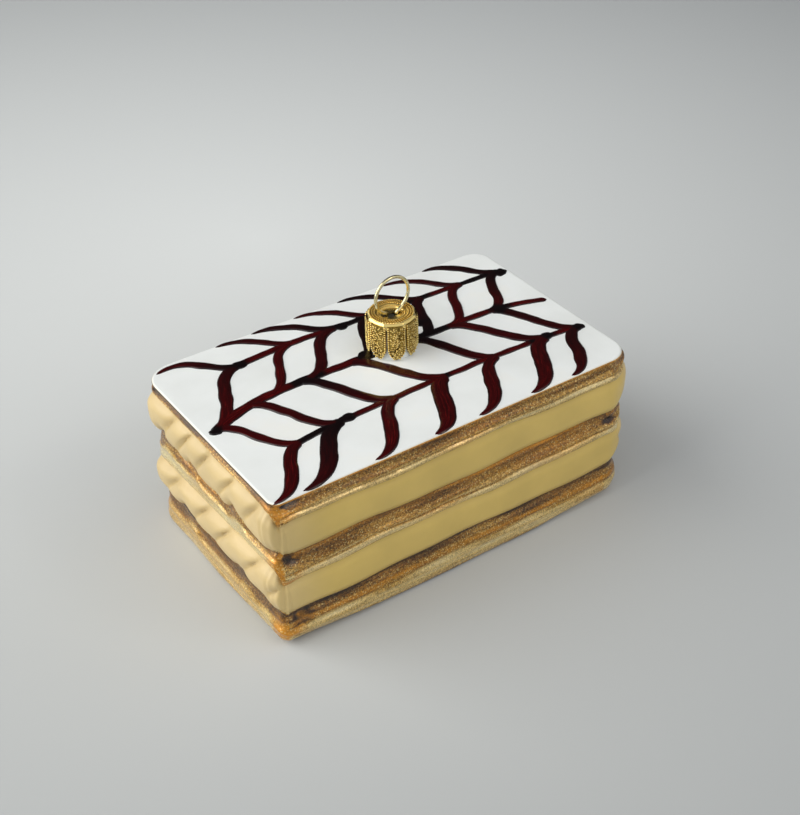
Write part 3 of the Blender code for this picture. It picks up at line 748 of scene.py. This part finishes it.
# Each row: the lines it runs between, how far its strokes keep to each line before they turn, its taper,
# which of them run over the rim, and for each its start, end, widest width and how black it starts and ends
featherRows = (
    {"lines": (rearEdge, feather["rearStem"]), "bends": (0.6, 0.35), "taper": (0.25, 0.95), "spills": (),
     "strokes": ((2.6, 20.3, 2.9, 0.2, 1.0), (19.6, 36.7, 2.6, 0.6, 0.3), (29.6, 48.9, 2.9, 0.7, 0.9),
                 (41.7, 60.3, 2.6, 0.3, 0.4), (54.6, 73.9, 2.6, 0.9, 0.7), (68.5, 86.0, 2.6, 0.4, 0.6),
                 (81.0, 97.0, 3.0, 0.8, 0.9))},
    {"lines": (feather["rearStem"], feather["middleStem"]), "bends": (0.6, 0.6), "taper": (0.85, 0.75),
     "spills": (),
     "strokes": ((21.0, 2.8, 3.5, 0.7, 0.1), (36.0, 19.0, 2.7, 0.1, 0.1), (48.5, 29.6, 3.2, 0.5, 0.5),
                 (59.0, 44.6, 3.0, 0.9, 0.9), (74.0, 63.0, 3.2, 0.7, 1.0), (86.0, 71.0, 2.8, 0.3, 0.1),
                 (98.0, 83.0, 3.0, 1.0, 0.2))},
    {"lines": (feather["middleStem"], feather["frontStem"]), "bends": (0.45, 0.55), "taper": (0.85, 0.7),
     "spills": (),
     "strokes": ((2.8, 17.4, 2.9, 0.2, 0.2), (13.9, 28.1, 3.2, 0.3, 0.5), (28.1, 43.9, 3.6, 1.0, 0.3),
                 (41.7, 58.9, 3.5, 0.6, 0.2), (59.6, 73.1, 3.5, 1.0, 0.3), (70.3, 88.1, 3.5, 0.3, 0.5),
                 (83.1, 97.4, 3.3, 0.8, 0.4))},
    {"lines": (feather["frontStem"], frontEdge), "bends": (0.45, 0.6), "taper": (0.8, 0.12), "spills": (0,),
     "strokes": ((16.7, 0.6, 3.6, 0.3, 0.1), (28.9, 8.1, 4.4, 1.0, 0.5), (43.9, 26.4, 3.7, 0.2, 0.1),
                 (58.1, 42.4, 4.8, 0.3, 0.2), (73.1, 54.6, 3.8, 0.3, 0.2), (88.1, 69.6, 4.5, 0.4, 0.2),
                 (96.7, 81.7, 3.6, 0.8, 0.4))},
)


def placeOnLine(line, along):
    # the place on a stem or an edge, and which way the line runs there
    for (start, low), (finish, high) in zip(line, line[1:]):
        if along <= finish or finish == line[-1][0]:
            slope = (high - low) / (finish - start)
            return Vector(onTop(along, low + slope * (along - start))), Vector((1.0, slope))


def overRim(flat, lift, spills=False):
    # points laid on the top at a height over it; past the rim they are held back just inside it,
    # or follow its rounding and run down the side
    half = np.array((glass["length"], glass["depth"])) / 2
    sides = np.where(flat < 0, -1.0, 1.0)
    radius = np.zeros(len(flat))
    for sideX, sideY, size, footRadius in glass["corners"]:
        radius[(sides[:, 0] == sideX) & (sides[:, 1] == sideY)] = size
    past = np.abs(flat) - half + radius[:, None]
    cornered = (past > 0).all(axis=1)
    straight = np.where((past[:, 0] > past[:, 1])[:, None], (1.0, 0.0), (0.0, 1.0))
    turned = past / np.maximum(np.hypot(*past.T), 1e-6)[:, None]
    outward = np.where(cornered[:, None], turned, straight) * sides
    inside = radius - np.where(cornered, np.hypot(*past.T), past.max(axis=1))
    held = inside
    if not spills:
        held = np.where(inside < feather["rimKeep"], mix(feather["rimKeep"], inside, 0.05), inside)
    travelled = np.maximum(feather["rimRadius"] - held, 0.0)
    angle = np.minimum(travelled / feather["rimRadius"], math.pi / 2)
    settled = np.where(travelled > 0, feather["rimRadius"] * (1.0 - np.sin(angle)), held)
    drop = feather["rimRadius"] * (1.0 - np.cos(angle) - angle) + travelled
    spot = flat + outward * (inside - settled + lift * np.sin(angle))[:, None]
    return np.column_stack((spot, glass["height"] - drop + lift * np.cos(angle)))


def curveThrough(points, steps):
    places = [Vector(onTop(*point)) for point in points]
    path = [places[0]]
    for index in range(len(places) - 1):
        start, finish = places[index], places[index + 1]
        before = places[max(index - 1, 0)]
        after = places[min(index + 2, len(places) - 1)]
        share = max(2, round(steps * (finish - start).length / glass["length"]))
        curve = interpolate_bezier(start, start + (finish - before) / 6, finish - (after - start) / 6, finish,
                                   share + 1)
        path.extend(Vector(spot[:2]) for spot in curve[1:])
    return path


def addRibbon(name, path, widths, darkness, crest, seed, spills=False):
    # a grid laid along the path, domed across and closed underneath
    steps = len(path) - 1
    deselectAll()
    bpy.ops.mesh.primitive_grid_add(x_subdivisions=steps, y_subdivisions=feather["across"], size=1.0)
    ribbon = bpy.context.object
    ribbon.name = name
    points = getPoints(ribbon)
    along = np.rint((points[:, 0] + 0.5) * steps).astype(int)
    across = points[:, 1] * 2.0
    route = np.array(path)
    ahead = np.gradient(route, axis=0)
    ahead = ahead / np.hypot(*ahead.T)[:, None]
    aside = np.stack((-ahead[:, 1], ahead[:, 0]), axis=1)
    travelled = np.concatenate(([0.0], np.cumsum(np.hypot(*np.diff(route, axis=0).T))))
    wobble = np.array([noise.noise(Vector((distance * 0.3, seed, 0.0))) for distance in travelled])
    halfWidths = np.array(widths) / 2 * (1.0 + feather["wobble"] * wobble)
    stray = np.array([noise.noise(Vector((distance * 0.22, seed, 5.0))) for distance in travelled])
    stray = stray * hump(np.linspace(-1.0, 1.0, len(path)), 1.0) * feather["sway"] * 2.0
    route = route + aside * stray[:, None]
    fromEnd = np.clip(np.minimum(travelled, travelled[-1] - travelled) / halfWidths, 0.03, 1.0)
    halfWidths = halfWidths * np.sqrt(fromEnd * (2.0 - fromEnd))
    flat = route[along] + aside[along] * (halfWidths[along] * across)[:, None]
    fullness = np.clip(halfWidths / 1.2, 0.35, 1.0) * (1.0 + 0.12 * wobble)
    dome = (1.0 - np.abs(across) ** 3.2) * crest * fullness[along]
    ends = smoothStep(np.minimum(along, steps - along) / 2.5)
    lift = dome * (0.3 + 0.7 * ends) - feather["sink"] * (np.abs(across) > 0.98)
    setPoints(ribbon, overRim(flat, lift, spills) * mm)
    addPointAttribute(ribbon, "dark", np.array(darkness)[along])
    corners = np.empty(len(ribbon.data.loops), dtype=np.int32)
    ribbon.data.loops.foreach_get("vertex_index", corners)
    laid = np.column_stack((travelled[along] * 0.1 + seed * 3.7, across * 0.5 + 0.5))
    ribbon.data.uv_layers.active.data.foreach_set("uv", laid[corners].astype(np.float32).ravel())
    bpy.ops.object.mode_set(mode="EDIT")
    bpy.ops.mesh.select_all(action="SELECT")
    bpy.ops.mesh.extrude_region_move(TRANSFORM_OT_translate={"value": (0.0, 0.0, -0.1 * mm)})
    bpy.ops.mesh.select_all(action="SELECT")
    bpy.ops.mesh.normals_make_consistent(inside=False)
    bpy.ops.object.mode_set(mode="OBJECT")
    return ribbon


def addPool(name, along, inwards, radius):
    # a blot where strokes meet: a sphere pressed flat, with an uneven outline, half sunk in the icing
    deselectAll()
    bpy.ops.mesh.primitive_uv_sphere_add(segments=48, ring_count=16, radius=1.0)
    pool = bpy.context.object
    pool.name = name
    points = getPoints(pool)
    angle = np.arctan2(points[:, 1], points[:, 0])
    uneven = noiseField(np.cos(angle) * 1.3, np.sin(angle) * 1.3, np.full(len(angle), along))
    reach = radius * (1.0 + 0.32 * uneven)
    flat = np.column_stack((points[:, 0] * reach * 1.12, points[:, 1] * reach * 0.85))
    flat = flat + np.array(onTop(along, inwards))
    setPoints(pool, overRim(flat, points[:, 2] * 0.43) * mm)
    addPointAttribute(pool, "dark", np.ones(len(pool.data.vertices)))
    return pool


def finishLacquer(piece, name, material):
    piece.name = name
    piece.data.materials.append(material)
    smoothShade(piece, 60.0)
    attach(piece, "root")


def nearPool(path):
    dark = np.zeros(len(path))
    for along, inwards, radius in feather["pools"]:
        distance = np.hypot(*(np.array(path) - np.array(onTop(along, inwards))).T)
        dark = np.maximum(dark, hump(np.maximum(distance - radius * 0.6, 0.0), radius * 1.1))
    return dark


def makeFeather():
    material = burgundyLacquer()
    stems = []
    for number, (stem, (wide, narrow, blacks)) in enumerate(feather["stems"].items()):
        path = curveThrough(feather[stem], feather["stemSteps"])
        widths = [mix(wide, narrow, index / (len(path) - 1)) for index in range(len(path))]
        along = np.array(path)[:, 0] + glass["length"] / 2
        dark = nearPool(path)
        for start, finish in blacks:
            begun = smoothStep((along - start) / feather["fade"] + 0.5)
            left = smoothStep((finish - along) / feather["fade"] + 0.5)
            dark = np.maximum(dark, begun * left)
        stems.append(addRibbon(stem, path, widths, dark, feather["height"] * 0.95, 40.0 + number))
    finishLacquer(joinPieces(stems, "featherStems"), "featherStems", material)
    for number, row in enumerate(featherRows):
        ribbons = []
        firstLine, lastLine = row["lines"]
        firstShare, lastShare = row["taper"]
        firstBend, lastBend = row["bends"]
        for column, (startAlong, finishAlong, widest, startDark, endDark) in enumerate(row["strokes"]):
            start, leaving = placeOnLine(firstLine, startAlong)
            finish, arriving = placeOnLine(lastLine, finishAlong)
            reach = finish.x - start.x
            curve = interpolate_bezier(start, start + leaving * reach * firstBend,
                                       finish - arriving * reach * lastBend, finish, feather["steps"])
            path = [Vector(spot[:2]) for spot in curve]
            shares = np.linspace(0.0, 1.0, len(path))
            least = mix(firstShare, lastShare, shares)
            widths = widest * mix(least, 1.0, np.sin(math.pi * shares) ** 0.8)
            dark = mix(startDark, endDark, smoothStep(shares))
            dark = np.maximum(dark, nearPool(path))
            crest = feather["height"] * (1.0 + 0.06 * (column % 3))
            ribbons.append(addRibbon(f"stroke{number}{column}", path, widths, dark, crest,
                                     number * 7.0 + column, column in row["spills"]))
        finishLacquer(joinPieces(ribbons, f"featherRow{number + 1}"), f"featherRow{number + 1}", material)
    pools = [addPool(f"pool{number}", *pool) for number, pool in enumerate(feather["pools"])]
    finishLacquer(joinPieces(pools, "lacquerPools"), "lacquerPools", material)


def burgundyLacquer():
    # clear burgundy lacquer laid on by brush: wet gloss, streaks along the stroke, black where it is thick
    material, shader = newMaterial("burgundy brush lacquer", {"Roughness": 0.18, "Specular IOR Level": 0.4})
    laid = addNode(material, "ShaderNodeUVMap")
    split = addNode(material, "ShaderNodeSeparateXYZ", None, {"Vector": laid.outputs["UV"]})
    stretch = addNode(material, "ShaderNodeMapping", {"Scale": (1.3, 7.0, 1.0)},
                      {"Vector": laid.outputs["UV"]})
    streaks = addNode(material, "ShaderNodeTexNoise", {"Scale": 1.6, "Detail": 3.0},
                      {"Vector": stretch.outputs["Vector"]})
    red = addNode(material, "ShaderNodeValToRGB", None, {"Fac": streaks.outputs["Fac"]})
    rampStops(red, ((0.3, "#2a0203"), (0.5, "#3c0304"), (0.62, "#4c0506"), (0.8, "#661410")))
    centre = addNode(material, "ShaderNodeMath", {"operation": "SUBTRACT", 1: 0.5}, {0: split.outputs["Y"]})
    side = addNode(material, "ShaderNodeMath", {"operation": "ABSOLUTE"}, {0: centre.outputs["Value"]})
    rim = addNode(material, "ShaderNodeMapRange", {"From Min": 0.28, "From Max": 0.46, "To Min": 0.0,
                  "To Max": 1.0}, {"Value": side.outputs["Value"]})
    black = addNode(material, "ShaderNodeMath", {"operation": "MAXIMUM"},
                    {0: rim.outputs["Result"], 1: attributeNode(material, "dark")})
    deep = addNode(material, "ShaderNodeMix", {"data_type": "RGBA", 7: linear("#0e0607")},
                   {0: black.outputs["Value"], 6: red.outputs["Color"]})
    link(material, deep.outputs[2], shader.inputs["Base Color"])
    relief = addNode(material, "ShaderNodeBump", {"Strength": 0.35, "Distance": 0.06 * mm},
                     {"Height": streaks.outputs["Fac"]})
    link(material, relief.outputs["Normal"], shader.inputs["Normal"])
    return material


# The crown cap and its ring, in millimetres

capLow, capHigh = (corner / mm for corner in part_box("hanger_cap"))
crown = {
    "place": ((capLow.x + capHigh.x) / 2, (capLow.y + capHigh.y) / 2),
    "tip": capLow.z,
    "top": capHigh.z - 0.1,
    "prongs": 8,
    "turn": -6.0,
    "skin": 0.32,
    "sides": 192,
    # profile from the shoulder over the rim to the crater's floor:
    # radius, how far under the top, how octagonal
    "profile": ((6.0, 1.7, 0.0), (6.05, 1.3, 0.15), (6.1, 0.95, 0.4), (6.12, 0.7, 0.9), (6.1, 0.55, 1.0),
                (5.95, 0.25, 1.0), (5.75, 0.05, 1.0), (5.6, 0.02, 0.8), (5.4, 0.06, 0.4), (4.8, 0.1, 0.1),
                (4.2, 0.1, 0.0), (3.95, 0.06, 0.0), (3.75, 0.06, 0.0), (3.55, 0.14, 0.0), (3.3, 0.32, 0.0),
                (3.05, 0.55, 0.0), (2.8, 0.72, 0.0), (2.4, 0.8, 0.0), (1.8, 0.82, 0.0), (0.4, 0.85, 0.0)),
    "prongAngle": 21.3,
    "prongTop": 0.72,
    "tipHeight": 3.1,
    "slotLength": 5.1,
    "slotWidth": 1.9,
    "slotTurn": -12.0,
    # radius of the ring, of a bead, how many, how far under the top
    "beadRings": ((5.3, 0.28, 52, 0.0), (4.7, 0.27, 48, 0.04), (4.1, 0.26, 44, 0.04), (3.3, 0.24, 38, 0.3),
                  (2.72, 0.2, 34, 0.72)),
    "edgeBead": 0.27,
    "edgeAcross": 0.86,     # where a prong's edge beads sit, as a share of its half width
    "edgeProud": 0.1,
    "edgeSpacing": 2.3,     # in bead radii
    "edgeFrom": 0.35,
    "edgeClear": 0.2,
    "grains": 130,
    "grainSizes": (0.16, 0.3),
    "grainMargin": 0.5,
    "grainAcross": 0.7,
    # painted shade: the prongs' sides, and less so the grains on them, are darkened towards olive
    "prongShade": 0.85,      # how much olive shows in the prongs, and in the grains on them
    "grainShade": 0.3,
}


def capRadius(radius, octagonal, angle):
    eighth = 2 * math.pi / crown["prongs"]
    offset = (angle - math.radians(crown["turn"])) % eighth - eighth / 2
    flat = radius * math.cos(eighth / 2) / np.cos(offset)
    return mix(radius, flat, octagonal)


def makeCrownTop():
    profile = crown["profile"]
    tube, around, ringOf = addTube("crownTop", crown["sides"], len(profile))
    angle = 2 * math.pi * around / crown["sides"]
    radius = np.array([point[0] for point in profile])[ringOf]
    depth = np.array([point[1] for point in profile])[ringOf]
    octagonal = np.array([point[2] for point in profile])[ringOf]
    reach = capRadius(radius, octagonal, angle)
    x, y = crown["place"]
    setPoints(tube, np.column_stack((x + reach * np.cos(angle), y + reach * np.sin(angle),
                                     crown["top"] - depth)) * mm)
    # the small hole left at its middle lies within the slot
    applyModifier(tube, "SOLIDIFY", thickness=crown["skin"] * mm, offset=-1.0)
    cutter = slotCutter()
    applyModifier(tube, "BOOLEAN", operation="DIFFERENCE", object=cutter, solver="EXACT")
    bpy.data.objects.remove(cutter, do_unlink=True)
    return tube


def slotCutter():
    # a cylinder pressed into a lens, as long as the slot
    deselectAll()
    x, y = crown["place"]
    bpy.ops.mesh.primitive_cylinder_add(vertices=48, radius=1.0, depth=3.0 * mm,
                                        location=(x * mm, y * mm, (crown["top"] - 1.2) * mm))
    cutter = bpy.context.object
    points = getPoints(cutter)
    along = points[:, 0]
    lens = np.sign(points[:, 1]) * (1.0 - along * along)
    halfLength = crown["slotLength"] / 2 * mm
    halfWidth = crown["slotWidth"] / 2 * mm
    setPoints(cutter, np.column_stack((along * halfLength, lens * halfWidth, points[:, 2])))
    cutter.rotation_euler = (0.0, 0.0, math.radians(crown["slotTurn"]))
    bpy.context.view_layer.update()
    return cutter


def prongRadius(height):
    # the prongs swell a little at their middle
    return curveAt(((0.0, 5.85), (1.4, 6.1), (4.5, 6.2), (7.5, 6.15), (9.5, 6.1)), height)


def prongHalfAngle(height):
    # full width down to the tip, which is a rounded point
    share = min(height / crown["tipHeight"], 1.0)
    return crown["prongAngle"] * (0.16 + 0.84 * math.sin(share * math.pi / 2) ** 0.75)


def prongSpot(number, across, height, proud):
    # across runs from -1 to 1 over the prong's width
    middle = 360.0 / crown["prongs"] * (number + 0.5)
    angle = math.radians(middle + across * prongHalfAngle(height))
    reach = prongRadius(height) + proud - 0.12 * across * across
    x, y = crown["place"]
    return (x + reach * math.cos(angle), y + reach * math.sin(angle), crown["tip"] + height)


def makeProng(number):
    columns, rows = 14, 26
    deselectAll()
    bpy.ops.mesh.primitive_grid_add(x_subdivisions=columns, y_subdivisions=rows, size=2.0)
    prong = bpy.context.object
    prong.name = f"prong{number}"
    tall = crown["top"] - crown["prongTop"] - crown["tip"]
    points = getPoints(prong)
    spots = [prongSpot(number, across, (up + 1.0) / 2 * tall, 0.0) for across, up in points[:, :2]]
    setPoints(prong, np.array(spots) * mm)
    applyModifier(prong, "SOLIDIFY", thickness=crown["skin"] * mm, offset=-1.0)
    applyModifier(prong, "BEVEL", width=0.08 * mm, segments=2, limit_method="ANGLE")
    return prong


def addBeads(name, places, sizes):
    # a cube cut once and blown round, copied to every place
    deselectAll()
    bpy.ops.mesh.primitive_cube_add(size=2.0)
    beads = bpy.context.object
    beads.name = name
    bpy.ops.object.mode_set(mode="EDIT")
    bpy.ops.mesh.select_all(action="SELECT")
    bpy.ops.mesh.subdivide(number_cuts=1)
    bpy.ops.object.mode_set(mode="OBJECT")
    one = getPoints(beads)
    one = one / np.linalg.norm(one, axis=1)[:, None]
    faces = np.array([face.vertices[:] for face in beads.data.polygons])
    allPoints = np.concatenate([one * size + np.array(place) for place, size in zip(places, sizes)]) * mm
    allFaces = np.concatenate([faces + len(one) * index for index in range(len(places))])
    mesh = bpy.data.meshes.new(name)
    mesh.from_pydata(allPoints.tolist(), [], allFaces.tolist())
    beads.data = mesh
    return beads


def makeCap():
    draw = random.Random(11)
    pieces = [makeCrownTop()]
    tall = crown["top"] - crown["prongTop"] - crown["tip"]
    places, sizes, grainPlaces, grainSizes = [], [], [], []
    for number in range(crown["prongs"]):
        pieces.append(makeProng(number))
        height = crown["edgeFrom"]
        while height < tall - crown["edgeClear"]:
            for side in (-1, 1):
                places.append(prongSpot(number, side * crown["edgeAcross"], height, crown["edgeProud"]))
                sizes.append(crown["edgeBead"])
            height += crown["edgeBead"] * crown["edgeSpacing"]
        for grainNumber in range(crown["grains"]):
            up = draw.uniform(crown["grainMargin"], tall - crown["grainMargin"])
            across = draw.uniform(-crown["grainAcross"], crown["grainAcross"])
            grainPlaces.append(prongSpot(number, across, up, 0.0))
            grainSizes.append(draw.uniform(*crown["grainSizes"]))
    x, y = crown["place"]
    for radius, size, count, under in crown["beadRings"]:
        for index in range(count):
            angle = 2 * math.pi * index / count
            places.append((x + radius * math.cos(angle), y + radius * math.sin(angle), crown["top"] - under))
            sizes.append(size)
    pieces.append(addBeads("capBeads", places, sizes))
    pieces.append(addBeads("capGrains", grainPlaces, grainSizes))
    for piece in pieces[1:1 + crown["prongs"]]:
        addPointAttribute(piece, "prong", np.full(len(piece.data.vertices), crown["prongShade"]))
    addPointAttribute(pieces[-1], "prong", np.full(len(pieces[-1].data.vertices), crown["grainShade"]))
    for piece in pieces:
        settle(piece)
    cap = joinPieces(pieces, "crownCap")
    cap.data.materials.clear()
    cap.data.materials.append(stampedBrass())
    smoothShade(cap, 35.0)
    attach(cap, "root")
    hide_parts("hanger_cap")


def stampedBrass():
    # thin stamped brass with gold lacquer, with a painted highlight on the edges and painted amber shade in
    # the hollows
    material, shader = newMaterial("gold lacquered stamped brass", {"Metallic": 1.0, "Roughness": 0.26})
    place = addNode(material, "ShaderNodeTexCoord")
    hollowShade = addNode(material, "ShaderNodeAmbientOcclusion", {"samples": 8, "Distance": 0.3 * mm})
    # painted shade and highlight: dark amber in the hollows, pale gold where nothing is near
    gold = addNode(material, "ShaderNodeValToRGB", None, {"Fac": hollowShade.outputs["AO"]})
    rampStops(gold, ((0.25, "#54400e"), (0.6, "#c49a3a"), (0.9, "#f2d98a")))
    # painted shade: the prongs are darkened towards olive, less so their grains
    shadedProngs = addNode(material, "ShaderNodeMix", {"data_type": "RGBA", 7: linear("#85681f")},
                   {0: attributeNode(material, "prong"), 6: gold.outputs["Color"]})
    link(material, shadedProngs.outputs[2], shader.inputs["Base Color"])
    grit = addNode(material, "ShaderNodeTexNoise", {"Scale": 1 / (0.6 * mm), "Detail": 3.0},
                   {"Vector": place.outputs["Object"]})
    relief = addNode(material, "ShaderNodeBump", {"Strength": 0.3, "Distance": 0.05 * mm},
                     {"Height": grit.outputs["Fac"]})
    link(material, relief.outputs["Normal"], shader.inputs["Normal"])
    return material


wire = {
    "radius": 0.43,
    "ring": 4.75,
    "shift": 0.35,
    "turn": 2.0,
    "rise": 14.8,
    "legTop": 9.7,
    "gap": 1.9,
    "spread": 1.25,
    "footSpread": 2.7,
    "footDepth": 4.0,
    "steps": 120,
}


def wireRoute():
    # distances along the ring's plane and heights, from one foot to the other
    top = glass["height"] + wire["legTop"]
    opening = math.asin(wire["gap"] / wire["ring"])
    loop = []
    for step in range(wire["steps"] + 1):
        angle = mix(-math.pi / 2 + opening, 1.5 * math.pi - opening, step / wire["steps"])
        loop.append((wire["shift"] + wire["ring"] * math.cos(angle),
                     glass["height"] + wire["rise"] + wire["ring"] * math.sin(angle)))
    foot = glass["height"] - wire["footDepth"]
    leg = [(wire["footSpread"], foot), (mix(wire["footSpread"], wire["spread"], 0.5), mix(foot, top, 0.4)),
           (wire["spread"] + 0.1, top - 2.0), (wire["spread"], top - 0.9), (wire["spread"], top - 0.1),
           (wire["spread"] + 0.18, top + 0.35)]
    return leg + loop + [(-along, height) for along, height in reversed(leg)]


def makeWire():
    x, y = crown["place"]
    data = bpy.data.curves.new("hangerRing", "CURVE")
    data.dimensions = "3D"
    data.bevel_depth = wire["radius"] * mm
    data.bevel_resolution = 6
    data.use_fill_caps = True
    route = wireRoute()
    spline = data.splines.new("POLY")
    spline.points.add(len(route) - 1)
    for point, (along, height) in zip(spline.points, route):
        share = float(smoothStep((height - glass["height"] - wire["legTop"]) / 1.5))
        aim = math.radians(mix(crown["slotTurn"], wire["turn"], share))
        point.co = ((x + along * math.cos(aim)) * mm, (y + along * math.sin(aim)) * mm, height * mm, 1.0)
    ring = bpy.data.objects.new("hangerRing", data)
    bpy.context.scene.collection.objects.link(ring)
    activate(ring)
    bpy.ops.object.convert(target="MESH")
    ring = bpy.context.object
    ring.data.materials.clear()
    ring.data.materials.append(polishedWire())
    smoothShade(ring, 60.0)
    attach(ring, "root")
    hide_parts("hanger_wire")


def polishedWire():
    # drawn brass spring wire, plated pale gold: a mirror with faint lengthwise wear
    material, shader = newMaterial("pale gold plated wire", {"Metallic": 1.0, "Roughness": 0.16})
    place = addNode(material, "ShaderNodeTexCoord")
    wear = addNode(material, "ShaderNodeTexNoise", {"Scale": 900.0, "Detail": 3.0},
                   {"Vector": place.outputs["Object"]})
    tone = addNode(material, "ShaderNodeValToRGB", None, {"Fac": wear.outputs["Fac"]})
    rampStops(tone, ((0.3, "#cdbd86"), (0.7, "#ebe0b4")))
    link(material, tone.outputs["Color"], shader.inputs["Base Color"])
    return material


makeGlassSlice()
print("glass slice ready")
makeFeather()
print("feather strokes ready")
makeCap()
print("crown cap ready")
makeWire()
print("ring ready")
